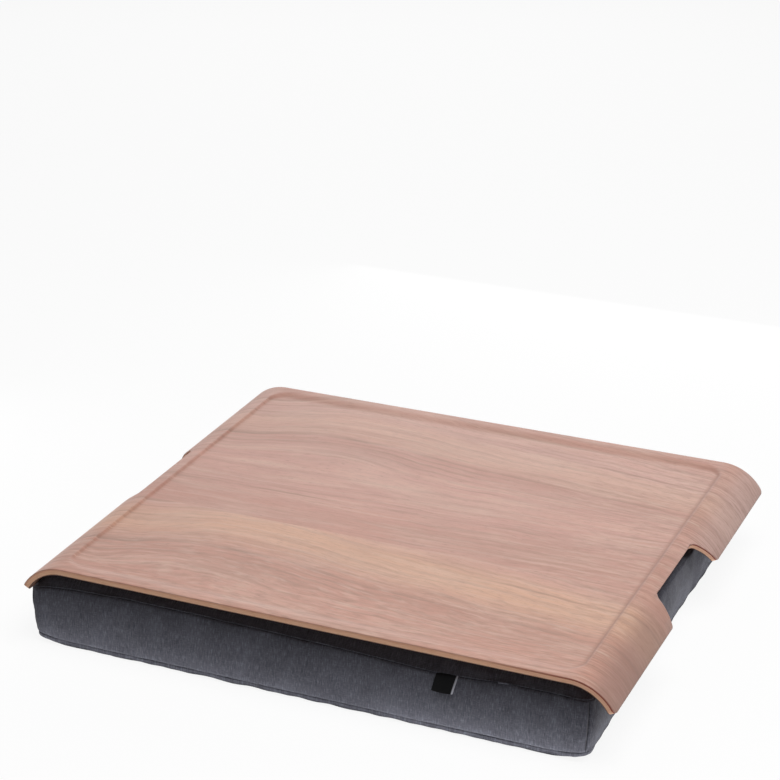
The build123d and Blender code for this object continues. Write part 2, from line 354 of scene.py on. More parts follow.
# The face is walnut veneer from slip-matched leaves, stained pale and given a satin lacquer.
# The lacquer gives the eye a broad soft sheen over long wavy streaks.
walnutFinish = {
    "tones": ((0.0, "#C49385"), (0.17, "#BF8E80"), (0.30, "#C7978A"), (0.42, "#CC9D8F"), (0.52, "#C69688"),
              (0.62, "#BE8B7C"), (0.66, "#C69987"), (0.76, "#CEA290"), (0.84, "#CA9D8F"), (1.0, "#C39283")),
    "toneSpan": (-70, 200), "honeyStops": ((0.66, 0.0), (0.74, 0.8), (0.82, 0.8), (0.9, 0.0)),
    "tints": {
        # the crease tint is painted shade in the foot of the pressed step
        "darkStreak": "#96705F", "paleStreak": "#DDC0AF", "pore": "#86604F", "creaseShade": "#85533F",
        # the warm tint and the left end tint are painted light: sheen missing at the front, shade at the left
        # end
        "warm": "#BE8268", "honey": "#DDB293",
        # the tints for the right end are greyed as painted sheen, the front one over darker heartwood
        "leftEndShade": "#A97668", "frontEndDarkAndSheen": "#92736B", "rearEndSheen": "#CDAFA7",
    },
    "leafShift": 220, "leafJoint": -50, "roughness": 0.44, "ior": 1.5,
    # where across the leaf the arch sets in, how far along and up it reaches, and its form
    "archAcross": {"From Min": 25.0, "From Max": 95.0}, "archAlong": {"From Min": -238.0, "From Max": 238.0},
    "archHeight": {"To Min": -20.0, "To Max": 20.0}, "tilt": 0.035,
    "arch": ((0, 0.12), (0.09, 0.25), (0.19, 0.68), (0.28, 0.87), (0.36, 0.83), (0.49, 0.58), (0.7, 0.34),
             (0.91, 0.1), (1, 0.0)),
    # slow broad turns that differ from leaf to leaf, then waves about 50 mm and 18 mm long:
    # how often they change along and across in 1/mm, noise layer, reach
    "wanders": ((0.0065, 0.022, None, 13.0), (0.020, 0.030, 9.0, 5.0), (0.055, 0.06, 11.0, 1.8)),
    "lineTail": 1.8, "lineNoise": (0.014, 0.05, 4.0),
    "lineShows": {"From Min": 0.36, "From Max": 0.6, "To Min": 0.08, "To Max": 0.85},
    "poreNoise": (0.12, 1.5, 7.0), "poreShows": (0.58, 0.74, 0.6), "poreRelief": (0.12, 0.4),
    # where each of these sets in and is full in millimetres, and how strong it gets
    "warmFront": (120.0, -190.0, 0.42), "darkLeft": (-20.0, -200.0, 0.28),
    "darkRight": {"From Min": 203.0, "From Max": 222.0}, "rearSheenShare": 0.6,
    "darkFrontShare": {"From Min": 165.0, "From Max": 130.0, "To Min": 0.2, "To Max": 0.62},
    "frontRipples": {"From Min": -60.0, "From Max": -135.0},
    "rightRipples": {"From Min": 40.0, "From Max": 215.0, "To Max": 0.8},
    "paleKept": {"To Min": 1.0, "To Max": 0.25},
}
# Dark lines of the figure: place across the leaf, half width, strength
figureLines = (
    (3, 1.8, 0.95), (62, 1.3, 0.5), (70, 1.2, 0.65), (77, 1.2, 0.7), (85, 1.6, 0.8), (92, 1.5, 0.8),
    (100, 2.4, 1.2), (150, 1.6, 0.75), (176, 2.0, 0.6),
)
# Streaks: how often they change along and across in 1/mm, layer, noise span that shows, colour, strength,
# and the share of the strength that is left away from the rippled front
streaks = (
    (0.011, 0.035, 0.5, 0.40, 0.75, "darkStreak", 0.22, 1.0),
    (0.012, 0.038, 0.8, 0.45, 0.75, "paleStreak", 0.22, 1.0),
    (0.007, 0.15, 1.0, 0.50, 0.70, "darkStreak", 0.34, 1.0),
    (0.008, 0.18, 2.0, 0.52, 0.72, "paleStreak", 0.30, 1.0),
    (0.018, 0.42, 3.0, 0.50, 0.70, "darkStreak", 0.26, 0.7),
    (0.050, 0.28, 5.0, 0.50, 0.70, "paleStreak", 0.30, 0.35),
    (0.056, 0.30, 6.0, 0.50, 0.68, "darkStreak", 0.42, 0.32),
    (0.110, 0.50, 7.0, 0.50, 0.72, "darkStreak", 0.24, 0.5),
)


def grainNoise(tree, along, across, alongScale, acrossScale, layer, inputs):
    # noise that runs along the grain
    place = addNode(tree, "CombineXYZ", None, {
        "X": addNode(tree, *multiply, {0: along, 1: alongScale}),
        "Y": addNode(tree, *multiply, {0: across, 1: acrossScale}),
        "Z": layer})
    return addNode(tree, "TexNoise", None, {"Vector": place, "Scale": 1.0, **inputs}).outputs["Fac"]


def layGrain(tree):
    # places in millimetres: along and across the sheet, across the leaf, and across the leaf's wavy rings
    place = addNode(tree, "Attribute", {"attribute_name": "sheetPlace"})
    scaled = addNode(tree, "VectorMath", {"operation": "SCALE"},
                     {0: place.outputs["Vector"], "Scale": 1 / mm})
    parts = addNode(tree, "SeparateXYZ", None, {0: scaled}).outputs
    along, across = parts["X"], parts["Y"]
    lowerLeaf = addNode(tree, "Math", {"operation": "LESS_THAN"}, {0: across, 1: walnutFinish["leafJoint"]})
    leafAcross = addNode(tree, *multiplyAdd, {0: lowerLeaf, 1: walnutFinish["leafShift"], 2: across})

    # the arch that the streaks make across the leaf
    archShare = addNode(tree, "MapRange", {"interpolation_type": "SMOOTHERSTEP"},
                        {"Value": leafAcross, **walnutFinish["archAcross"]})
    alongShare = addNode(tree, *plainRange, {"Value": along, **walnutFinish["archAlong"]})
    arch = addNode(tree, "FloatCurve", None, {"Value": alongShare})
    setCurve(arch, walnutFinish["arch"])
    arched = addNode(tree, *plainRange, {"Value": arch, **walnutFinish["archHeight"]})
    tilt = addNode(tree, *multiply, {0: along, 1: walnutFinish["tilt"]})
    lift = addNode(tree, *valueMix, {0: archShare, 2: tilt, 3: arched})
    ring = addNode(tree, *subtract, {0: leafAcross, 1: lift})

    # the grain wanders
    for alongScale, acrossScale, layer, amount in walnutFinish["wanders"]:
        wander = grainNoise(tree, along, leafAcross, alongScale, acrossScale,
                            lowerLeaf if layer is None else layer, {"Detail": 1.0})
        centred = addNode(tree, *subtract, {0: wander, 1: 0.5})
        ring = addNode(tree, *multiplyAdd, {0: centred, 1: amount, 2: ring})
    return along, across, lowerLeaf, leafAcross, ring


def makeWalnut(name):
    material, tree, shader = startMaterial(
        name, {"Roughness": walnutFinish["roughness"], "IOR": walnutFinish["ior"]})
    tints = {key: linearColour(tone) for key, tone in walnutFinish["tints"].items()}
    along, across, lowerLeaf, leafAcross, ring = layGrain(tree)

    # broad tone across the leaf, a honey-coloured band and the figure's dark lines
    first, last = walnutFinish["toneSpan"]
    span = last - first
    lineStops = [(0.0, 0.0)]
    for middle, half, strength in figureLines:
        share = (middle - first) / span
        lineStops += [(share - half / span, 0.0), (share, strength),
                      (share + half * walnutFinish["lineTail"] / span, 0.0)]
    toneShare = addNode(tree, *plainRange, {"Value": ring, "From Min": first, "From Max": last})
    ramps = []
    for stops, easing in ((walnutFinish["tones"], "EASE"), (walnutFinish["honeyStops"], "LINEAR"),
                          (lineStops, "LINEAR")):
        ramp = addNode(tree, "ValToRGB", None, {0: toneShare})
        setStops(ramp.color_ramp, stops, easing)
        ramps.append(ramp.outputs["Color"])
    colour, honey, lines = ramps

    # the honey-coloured band is in the lower leaf
    honeyShare = addNode(tree, *multiply, {0: honey, 1: lowerLeaf})
    colour = layTint(tree, colour, tints["honey"], honeyShare)

    # the front is tinted warmer and the left end a shade darker, both painted light: the warm front stands in
    # for the paler sheen that the back catches, the dark left end is painted shade where less light falls
    colour = layTint(tree, colour, tints["warm"], across, *walnutFinish["warmFront"])
    colour = layTint(tree, colour, tints["leftEndShade"], along, *walnutFinish["darkLeft"], "SMOOTHSTEP")

    # the dark lines come and go along the grain
    comeAndGo = grainNoise(tree, along, ring, *walnutFinish["lineNoise"], {"Detail": 2.0})
    comeAndGo = addNode(tree, *plainRange, {"Value": comeAndGo, **walnutFinish["lineShows"]})
    lineShare = addNode(tree, *multiply, {0: lines, 1: comeAndGo})
    colour = layTint(tree, colour, tints["darkStreak"], lineShare)

    # the right end: toward the front darker heartwood, greyed as painted sheen; toward the back a pale grey
    # tint that is painted sheen
    endShare = addNode(tree, *smoothRange, {"Value": along, **walnutFinish["darkRight"]})
    frontShare = addNode(tree, *smoothRange, {"Value": leafAcross, **walnutFinish["darkFrontShare"]})
    frontShare = addNode(tree, *valueMix, {0: lowerLeaf, 2: walnutFinish["rearSheenShare"], 3: frontShare})
    endTintAndSheen = addNode(tree, *colourMix, {0: lowerLeaf, 6: tints["rearEndSheen"], 7: tints["frontEndDarkAndSheen"]})
    darkened = addNode(tree, *multiply, {0: endShare, 1: frontShare})
    colour = layTint(tree, colour, endTintAndSheen.outputs[2], darkened)

    # short ripples are strongest toward the front and the right end, where pale ones are weaker
    towardFront = addNode(tree, *smoothRange, {"Value": across, **walnutFinish["frontRipples"]})
    towardRight = addNode(tree, *smoothRange, {"Value": along, **walnutFinish["rightRipples"]})
    rippled = addNode(tree, *larger, {0: towardFront, 1: towardRight})
    paleKept = addNode(tree, *plainRange, {"Value": endShare, **walnutFinish["paleKept"]})
    for alongScale, acrossScale, layer, low, high, target, strength, kept in streaks:
        streak = grainNoise(tree, along, ring, alongScale, acrossScale, layer,
                            {"Detail": 3.0, "Distortion": 0.35})
        most = addNode(tree, *plainRange, {"Value": rippled, "To Min": strength * kept, "To Max": strength})
        if target == "paleStreak":
            most = addNode(tree, *multiply, {0: most, 1: paleKept})
        colour = layTint(tree, colour, tints[target], streak, low, high, most)

    # open pores, drawn about 0.5 mm wide so that they show
    pores = grainNoise(tree, along, ring, *walnutFinish["poreNoise"], {"Detail": 2.0, "Roughness": 0.6})
    colour = layTint(tree, colour, tints["pore"], pores, *walnutFinish["poreShows"])

    # painted shade in the foot of the pressed step, standing in for the shade that gathers there
    creaseShade = addNode(tree, "Attribute", {"attribute_name": "creaseShadeShare"})
    colour = layTint(tree, colour, tints["creaseShade"], creaseShade.outputs["Fac"])
    finishMaterial(tree, shader, colour, pores, *walnutFinish["poreRelief"], True)
    return material


walnut = makeWalnut("satin lacquered walnut veneer")
print("walnut mixed")

# The board: a flat sheet is cut out, pressed in the middle and bent down at both ends
board = {
    "length": 460, "depth": 380, "height": 66, "bendRadius": 38, "bendAngle": 63,
    "recessDepth": 2, "rimWidth": 6, "recessIntoBend": 5, "recessCorner": 20,
    "stepAtEnds": 2.6, "stepAtSides": 12,
    # painted shade in the crease: its strength, how uneven it is at the left, its reach and its place in the
    # step
    "creaseAtRight": 0.6, "creaseAtLeft": 0.3, "creaseAtSides": 0.16, "creaseUneven": (0.7, 1.6, 22),
    "creaseReach": 1.5, "creaseSpread": 0.25, "creasePlace": 0.75,
    "notchDepth": 25, "notchFloor": 92, "notchMouth": 116, "notchCorner": 8, "mouthCorner": 3, "endCorner": 4,
    "arris": 0.3, "cornerCuts": 8, "fieldCell": 18, "bendCell": 0.9, "sideCell": 1.5, "lastCell": 0.6,
    "sharpAngle": 50,
}
bendStart = board["length"] / 2 - board["bendRadius"] * math.sin(math.radians(board["bendAngle"]))
sheetHalf = bendStart + board["bendRadius"] * math.radians(board["bendAngle"])


def cutSheet():
    # the outline before bending, its corners rounded, cut into strips that can bend
    halfDepth = board["depth"] / 2
    quarter = ((sheetHalf, halfDepth, "endCorner"), (sheetHalf, board["notchMouth"] / 2, "mouthCorner"),
               (sheetHalf - board["notchDepth"], board["notchFloor"] / 2, "notchCorner"))
    corners = []
    for side in (1, -1):
        corners += [(side * x, -side * y, kind) for x, y, kind in quarter]
        corners += [(side * x, side * y, kind) for x, y, kind in reversed(quarter)]
    bm = bmesh.new()
    verts = [bm.verts.new((x, y, 0)) for x, y, kind in corners]
    bm.faces.new(verts)
    offsets = []
    for i, (vert, corner) in enumerate(zip(verts, corners)):
        before = verts[i - 1].co - vert.co
        after = verts[(i + 1) % len(verts)].co - vert.co
        offsets.append(board[corner[2]] / math.tan(before.angle(after) / 2))
    for vert, offset in zip(verts, offsets):
        roundOff(bm, [vert], offset, board["cornerCuts"], "VERTICES")
    fieldEnd = bendStart + board["recessIntoBend"] - board["recessCorner"]
    fieldSide = halfDepth - board["rimWidth"] - board["recessCorner"]
    for axis, inner, outer, cell in (("x", fieldEnd, sheetHalf, board["bendCell"]),
                                     ("y", fieldSide, halfDepth, board["sideCell"])):
        places = evenPlaces(-inner, inner, board["fieldCell"])
        outside = [inner] + evenPlaces(inner, outer - board["lastCell"], cell)
        places += [side * place for side in (-1, 1) for place in outside]
        cutAt(bm, places, axis)
    return bm


def pressShares(along, across):
    # how far pressed, 0 on the rim to 1 on the field, and how much painted shade lies in the crease;
    # the step is short at the bent ends and long at the straight sides
    radius = board["recessCorner"]
    pastEnd = max(0, abs(along) - (bendStart + board["recessIntoBend"] - radius))
    pastSide = max(0, abs(across) - (board["depth"] / 2 - board["rimWidth"] - radius))
    if not pastEnd and not pastSide:
        return 1, 0
    inset = radius - math.hypot(pastEnd, pastSide)
    endShare = smoothShare(pastEnd / (pastEnd + pastSide))
    width = board["stepAtSides"] + (board["stepAtEnds"] - board["stepAtSides"]) * endShare
    base, change, length = board["creaseUneven"]
    uneven = base + change * noise.noise(Vector((across / length, 0, 0)))
    atEnd = board["creaseAtRight"] if along > 0 else board["creaseAtLeft"] * uneven
    most = board["creaseAtSides"] + (atEnd - board["creaseAtSides"]) * endShare
    reach = board["creaseReach"] + width * board["creaseSpread"]
    fromCrease = (inset - board["creasePlace"] * width) / reach
    return smoothShare(inset / width), most * math.exp(-fromCrease ** 2)


def bendSheet(bm):
    # presses and bends a flat piece whose z is minus the depth under the rim; its flat place stays
    # on each point for the grain
    layer = bm.verts.layers.float_vector.new("sheetPlace")
    creaseShadeLayer = bm.verts.layers.float.new("creaseShadeShare")
    centre = board["height"] - board["bendRadius"]
    for vert in bm.verts:
        along, across, depth = vert.co.x, vert.co.y, -vert.co.z
        vert[layer] = Vector((along, across, depth)) * mm
        angle = max(0, abs(along) - bendStart) / board["bendRadius"]
        reach = board["bendRadius"] - depth
        # each point also keeps its share of painted shade in the crease
        pressed, vert[creaseShadeLayer] = pressShares(along, across)
        x = math.copysign(min(abs(along), bendStart) + reach * math.sin(angle), along)
        z = centre + reach * math.cos(angle) - board["recessDepth"] * pressed
        vert.co = Vector((x, across, z)) * mm


def makePly(sheet, name, upper, lower, material, slotName, node, arrisAt=None):
    bm = sheet.copy()
    bmesh.ops.translate(bm, verts=bm.verts[:], vec=(0, 0, -upper))
    grown = bmesh.ops.extrude_face_region(bm, geom=bm.faces[:], use_keep_orig=True)
    lowered = [g for g in grown["geom"] if isinstance(g, bmesh.types.BMVert)]
    bmesh.ops.translate(bm, verts=lowered, vec=(0, 0, upper - lower))
    bmesh.ops.recalc_face_normals(bm, faces=bm.faces[:])
    if arrisAt is not None:
        rim = [e for e in bm.edges if all(abs(v.co.z + arrisAt) < 0.01 for v in e.verts)
               and any(abs(f.normal.z) < 0.5 for f in e.link_faces)]
        roundOff(bm, rim, board["arris"], 2)
    bendSheet(bm)
    piece = addPiece(name, bm, material, "tray", [node])
    piece.data.set_sharp_from_angle(angle=math.radians(board["sharpAngle"]))


# Inner plies of pale poplar, a cross ply that is red-brown at the right end, and a dark backing:
# sawn edges under a thin lacquer. Their pale colours are lightened past the wood's own, as painted light from
# the front
plyFinish = {
    # colour at the right end, of streaks there, at the left, of streaks there
    "pale poplar ply": ("#FAC6A6", "#E8AC8A", "#FFCCAA", "#F0B48E"),
    "red-brown cross ply": ("#A5503C", "#8A3E2E", "#F4B898", "#DF9F7E"),
    "dark walnut backing": ("#6E4F40", "#553A2E", "#6E4F40", "#553A2E"),
}


def makePlyMaterial(name):
    material, tree, shader = startMaterial(name, {"Roughness": 0.6, "IOR": 1.5})
    right, rightStreak, left, leftStreak = (linearColour(tone) for tone in plyFinish[name])
    place = addNode(tree, "Attribute", {"attribute_name": "sheetPlace"}).outputs["Vector"]
    # fibres run along the edge and show as lines 0.2 mm deep
    fibres = addNode(tree, "Mapping", None, {"Vector": place, "Scale": (90, 90, 2600)})
    grain = addNode(tree, "TexNoise", None, {
        "Vector": fibres, "Scale": 1.0, "Detail": 3.0, "Roughness": 0.6}).outputs["Fac"]
    # the ply's tone changes along the edge, toward the tray's right end
    along = addNode(tree, "SeparateXYZ", None, {0: place}).outputs["X"]
    base, streak = (layTint(tree, atLeft, atRight, along, 110 * mm, 215 * mm, 1, "SMOOTHSTEP")
                    for atLeft, atRight in ((left, right), (leftStreak, rightStreak)))
    colour = layTint(tree, base, streak, grain, 0.38, 0.68)
    finishMaterial(tree, shader, colour, grain, 0.2, 0.1)
    return material


palePly, darkPly, darkBacking = (makePlyMaterial(name) for name in plyFinish)

# Plies from the top down: piece, upper and lower side under the rim, finish, slot, node, and where one of
# its outer edges is rounded
plies = (
    ("walnutFaceVeneer", 0, 0.6, walnut, "walnut_veneer", "walnut_face_veneer", 0),
    ("upperCrossPly", 0.6, 1.6, darkPly, "dark_ply", "upper_cross_ply"),
    ("corePly", 1.6, 3.6, palePly, "pale_ply", "core_ply"),
    ("lowerCrossPly", 3.6, 4.4, palePly, "dark_ply", "lower_cross_ply"),
    ("backingVeneer", 4.4, 5.0, darkBacking, "backing_veneer", "backing_veneer", 5.0),
)
sheet = cutSheet()
for ply in plies:
    makePly(sheet, *ply)
sheet.free()
print("board pressed and bent")

# The cover is woven from dark blue-grey yarns of mixed shades: dull, slightly fuzzy, with fine upright flecks
fabricFinish = {
    "yarn": "#595962", "darkYarn": "#383841", "paleYarn": "#8C8E9B", "roughness": 0.92, "sheen": 0.1,
    "threadSpacing": 0.9,  # real threads are 0.4 mm apart, drawn coarser so that they show
    # upright flecks of single yarns, then weaker ones along the weft, then broad uneven dye:
    # scale across and up, layer, noise span that shows, colour, strength
    "flecks": (
        ((1500, 190, 1), 1, 0.50, 0.70, "paleYarn", 0.50),
        ((1300, 150, 1), 2, 0.50, 0.70, "darkYarn", 0.55),
        ((260, 1400, 1), 3, 0.52, 0.72, "paleYarn", 0.28),
        ((300, 1500, 1), 4, 0.52, 0.72, "darkYarn", 0.28),
        ((60, 22, 1), 5, 0.45, 0.75, "paleYarn", 0.16),
    ),
}


def makeFabric(name, finish):
    material, tree, shader = startMaterial(name, {
        "Roughness": finish["roughness"], "Sheen Weight": finish["sheen"], "Sheen Roughness": 0.6,
        "Specular IOR Level": 0.05})
    place = addNode(tree, "UVMap", {"uv_map": "clothPlace"}).outputs["UV"]
    colour = linearColour(finish["yarn"])
    for scale, layer, low, high, target, strength in finish["flecks"]:
        stretched = addNode(tree, "Mapping", None,
                            {"Vector": place, "Scale": scale, "Location": (0, 0, layer)})
        fleck = addNode(tree, "TexNoise", None,
                        {"Vector": stretched, "Scale": 1.0, "Detail": 2.0, "Roughness": 0.6})
        colour = layTint(tree, colour, linearColour(finish[target]), fleck, low, high, strength)
    # plain weave: warp and weft ridges
    warp, weft = (addNode(tree, "TexWave", {"bands_direction": direction, "wave_profile": "SIN"}, {
        "Vector": place, "Scale": 0.314 / (finish["threadSpacing"] * mm), "Distortion": 0.6, "Detail": 1.0,
        "Detail Scale": 2.0}).outputs["Fac"] for direction in ("X", "Y"))
    weave = addNode(tree, *larger, {0: warp, 1: weft})
    finishMaterial(tree, shader, colour, weave, 0.35, 0.25)
    return material


heather = makeFabric("heather woven polyester", fabricFinish)
print("fabric woven")

# The cushion: a box of six cloth panels, swollen by its beads between the seams
cushion = {
    "length": 437, "front": -187, "back": 184, "shift": -7.5, "corner": 8,
    "baseSeam": 5, "topSeam": 41.5, "plateau": 56.8, "bulge": 1.9, "endDraw": 3, "frontDraw": 1.5,
    "frontFlare": 5.5, "frontFoot": 0.15, "rightLean": 2.2, "leftLean": 1.5, "leftSpread": 4.0,
    # where these set in, over what reach, and how closely they keep to the cushion's end
    "spreadFrom": (-60, 120, 10), "leanFrom": (-120, 200, 6), "flarePower": 6,
    # how high the top panel's crown and the base's rounded rim are, as shares, so far in from the edge
    "crown": ((0, 0), (2.5, 0.1), (6.1, 0.4), (12.6, 0.7), (23.4, 0.93), (36, 1)),
    "baseRim": ((0, 1), (0.5, 0.45), (1.3, 0.15), (3, 0)), "cornerLift": 3.0, "cornerReach": 30,
    # how far the top seam lies above its lowest level, from left to right
    "seamLift": ((-226, 0), (-219, 2.5), (-190, 5.5), (-147, 7), (-95, 6.5), (-40, 5.5), (40, 3.5), (96, 1.2),
                 (117, 2.5), (160, 5), (211, 5)), "seamEnd": 14, "liftPower": 1.5,
    "ringPlaces": (0.5, 1.3, 2.5, 4.0, 6.1, 9.0, 12.6, 15.5, 19, 23.4, 29.7, 36), "cell": 8,
    "bandPlaces": (6.2, 8.5, 12, 15.5, 18.5, 21, 24, 27, 29.5, 33, 36.5, 39, 40.4),
    "zipWindow": (-159.5, 144.5, 18.5, 29.5), "zipFold": 0.8,
    # the cloth that keeps its place: in from the base's rim, round each tape, beside and above the zip
    "heldBase": 3.5, "heldTape": 4, "heldZip": (20, 3), "steps": 20, "mostSwell": 1.4, "topSwell": 0.6,
    "backSwell": 0.35, "seamTuck": 1.1, "gather": 0.35, "gatherSize": 9, "gatherReach": 7, "wave": 0.35,
    "waveSize": (55, 60), "clothThickness": 0.8,
}
# A light cloth, a little slack, that the beads press outward
clothSettings = {
    "quality": 6, "mass": 0.3, "tension_stiffness": 12, "compression_stiffness": 12, "shear_stiffness": 4,
    "bending_stiffness": 0.4, "air_damping": 4, "use_pressure": True, "uniform_pressure_force": 3.0,
    "shrink_min": -0.012, "vertex_group_mass": "held", "pin_stiffness": 1,
}
# Each panel's own piece: name, panel number, CAD node, UV axes
panelPieces = (
    ("coverTopPanel", 0, "cover_top_panel", (0, 1)),
    ("coverBottomPanel", 1, "cover_bottom_panel", (0, 1)),
    ("frontBand", 2, "front_band", (0, 2)),
    ("rightBand", 3, "right_band", (1, 2)),
    ("leftBand", 4, "left_band", (1, 2)),
    ("backBandLower", 5, "back_band_lower", (0, 2)),
    ("backBandUpper", 6, "back_band_upper", (0, 2)),
)
# Which way panels 0 to 5 face; the back becomes panels 5 and 6, below and above the zip
panelNormals = ((0, 0, 1), (0, 0, -1), (0, -1, 0), (1, 0, 0), (-1, 0, 0), (0, 1, 0))
halfLength = cushion["length"] / 2
halfWidth = (cushion["back"] - cushion["front"]) / 2
middleY = (cushion["back"] + cushion["front"]) / 2
tapeBoxes = [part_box(f"loop_tape_{i}") for i in (1, 2, 3, 4)]


def insetOf(x, y):
    return min(halfLength - abs(x - cushion["shift"]), halfWidth - abs(y - middleY))


def cushionPlace(x, y, z):
    # moves a point of the plain box to the cushion's own form
    dx, dy = x - cushion["shift"], y - middleY
    inset = insetOf(x, y)
    ringX, ringY = halfLength - inset, halfWidth - inset
    radius = min(cushion["corner"], ringX, ringY)
    ax, ay = abs(dx), abs(dy)
    onEnd = halfLength - ax <= halfWidth - ay
    gap = ringY - ay if onEnd else ringX - ax
    if gap < radius:
        turn = math.radians(45) * (1 - gap / radius)
        outward, sideward = radius * math.cos(turn), radius * math.sin(turn)
        ax = ringX - radius + (outward if onEnd else sideward)
        ay = ringY - radius + (sideward if onEnd else outward)
    rise = (z - cushion["baseSeam"]) / (cushion["topSeam"] - cushion["baseSeam"])
    upShare = max(0, min(1, rise))
    # the top seam isn't level: it rises from the left corner and sags where the label pulls on it
    endShare = smoothShare((x - cushion["shift"] + halfLength) / cushion["seamEnd"])
    lift = alongTable(x, cushion["seamLift"]) * endShare
    belly = math.sin(math.pi * rise) if 0 < rise < 1 else 0
    swell = cushion["bulge"] * belly if inset < 0.01 else 0
    draw = cushion["endDraw"] * (1 - 0.5 * belly) * max(0, 1 - (ay / halfWidth) ** 2) * ax / halfLength
    ax += (0.5 * swell if onEnd else 0) - draw
    if dx < 0:
        # the left end is drawn in at its foot, and its top seam spreads below the board's end at the front
        place, reach, power = cushion["spreadFrom"]
        spread = cushion["leftSpread"] * upShare * smoothShare((place - y) / reach)
        ax += (spread - cushion["leftLean"] * (1 - upShare)) * (ax / halfLength) ** power
    else:
        place, reach, power = cushion["leanFrom"]
        toBack = smoothShare((y - place) / reach)
        ax -= cushion["rightLean"] * toBack * (1.2 - upShare) * (ax / halfLength) ** power
    if dy < 0:
        # the front leans back from its foot, and its top seam is drawn in
        ay += 0 if onEnd else swell
        ay -= cushion["frontDraw"] * upShare * max(0, 1 - (ax / halfLength) ** 2) * ay / halfWidth
        flare = cushion["frontFlare"] * (cushion["frontFoot"] - upShare)
        ay += flare * (ay / halfWidth) ** cushion["flarePower"]
    if rise >= 1:
        seam = cushion["topSeam"] + lift
        z = seam + (cushion["plateau"] - seam) * alongTable(inset, cushion["crown"])
    elif rise > 0:
        z += lift * rise ** cushion["liftPower"]
    else:
        z = cushion["baseSeam"] * alongTable(inset, cushion["baseRim"])
    if rise < 1:
        # the beads don't fill the lower corners, which stand a little off the floor
        toCorner = math.hypot(halfLength - abs(dx), halfWidth - abs(dy)) / cushion["cornerReach"]
        z += cushion["cornerLift"] * (1 - smoothShare(toCorner)) * (1 - max(rise, 0))
    return Vector((cushion["shift"] + math.copysign(ax, dx), middleY + math.copysign(ay, dy), z))


def cutCushionBox():
    # a plain box between the two seams, cut into cells, each face marked with its panel
    bm = boxBetween(Vector((cushion["shift"] - halfLength, cushion["front"], cushion["baseSeam"])),
                    Vector((cushion["shift"] + halfLength, cushion["back"], cushion["topSeam"])))
    rings = cushion["ringPlaces"]
    for axis, middle, half in (("x", cushion["shift"], halfLength), ("y", middleY, halfWidth)):
        inner = half - rings[-1]
        places = evenPlaces(middle - inner, middle + inner, cushion["cell"])
        places += [middle + side * (half - ring) for side in (-1, 1) for ring in rings]
        if axis == "x":
            places += cushion["zipWindow"][:2]
        cutAt(bm, places, axis)
    cutAt(bm, cushion["bandPlaces"], "z")
    bm.normal_update()
    panelLayer = bm.faces.layers.int.new("panel")
    flatLayer = bm.verts.layers.float_vector.new("boxPlace")
    zipMiddle = sum(cushion["zipWindow"][2:]) / 2
    for face in bm.faces:
        face[panelLayer] = panelNormals.index(tuple(round(c) for c in face.normal))
        if face[panelLayer] == 5 and face.calc_center_median().z > zipMiddle:
            face[panelLayer] = 6
    for vert in bm.verts:
        vert[flatLayer] = vert.co
        vert.co = cushionPlace(*vert.co) * mm
    return bm


def layersOf(bm):
    # each face's panel, and each point's place in the plain box
    return bm.faces.layers.int["panel"], bm.verts.layers.float_vector["boxPlace"]


def panelsAt(vert, panelLayer):
    return {face[panelLayer] for face in vert.link_faces}


def isHeld(vert, panelLayer, flatLayer):
    # seams, the base on its floor, the cloth under the loop tapes and the edge of the zip keep their places
    x, y, z = vert[flatLayer]
    panels = panelsAt(vert, panelLayer)
    if len(panels) > 1:
        return True
    if 1 in panels:
        return insetOf(x, y) > cushion["heldBase"]
    if 0 in panels:
        margin = cushion["heldTape"] * mm
        return any(low.x - margin < x * mm < high.x + margin and low.y - margin < y * mm < high.y + margin
                   for low, high in tapeBoxes)
    if panels & {5, 6}:
        left, right, low, high = cushion["zipWindow"]
        beside, above = cushion["heldZip"]
        return left - beside < x < right + beside and low - above < z < high + above
    return False


def swellCushion(bm):
    # the cloth is a little slack and the beads press it out between its seams
    panelLayer, flatLayer = layersOf(bm)
    bm.verts.index_update()
    cloth = linkObject("swellingCloth", meshOf("swellingCloth", bm))
    group = cloth.vertex_groups.new(name="held")
    group.add([v.index for v in bm.verts if isHeld(v, panelLayer, flatLayer)], 1.0, "REPLACE")
    modifier = cloth.modifiers.new("cloth", "CLOTH")
    for name, value in clothSettings.items():
        setattr(modifier.settings, name, value)
    modifier.settings.effector_weights.gravity = 0
    modifier.collision_settings.use_collision = False
    modifier.collision_settings.use_self_collision = False
    modifier.point_cache.frame_start, modifier.point_cache.frame_end = 1, cushion["steps"]
    for step in range(1, cushion["steps"] + 1):
        bpy.context.scene.frame_set(step)
    swollen = cloth.evaluated_get(bpy.context.evaluated_depsgraph_get()).to_mesh()
    for vert, after in zip(bm.verts, swollen.vertices):
        move = after.co - vert.co
        panels = panelsAt(vert, panelLayer)
        share = cushion["backSwell"] if panels & {5, 6} else cushion["topSwell"] if 0 in panels else 1
        limit = cushion["mostSwell"] * mm * share
        if move.length > 0:
            vert.co += move * (limit * math.tanh(move.length / limit) / move.length)
    bpy.data.objects.remove(cloth)
    bpy.context.scene.frame_set(1)


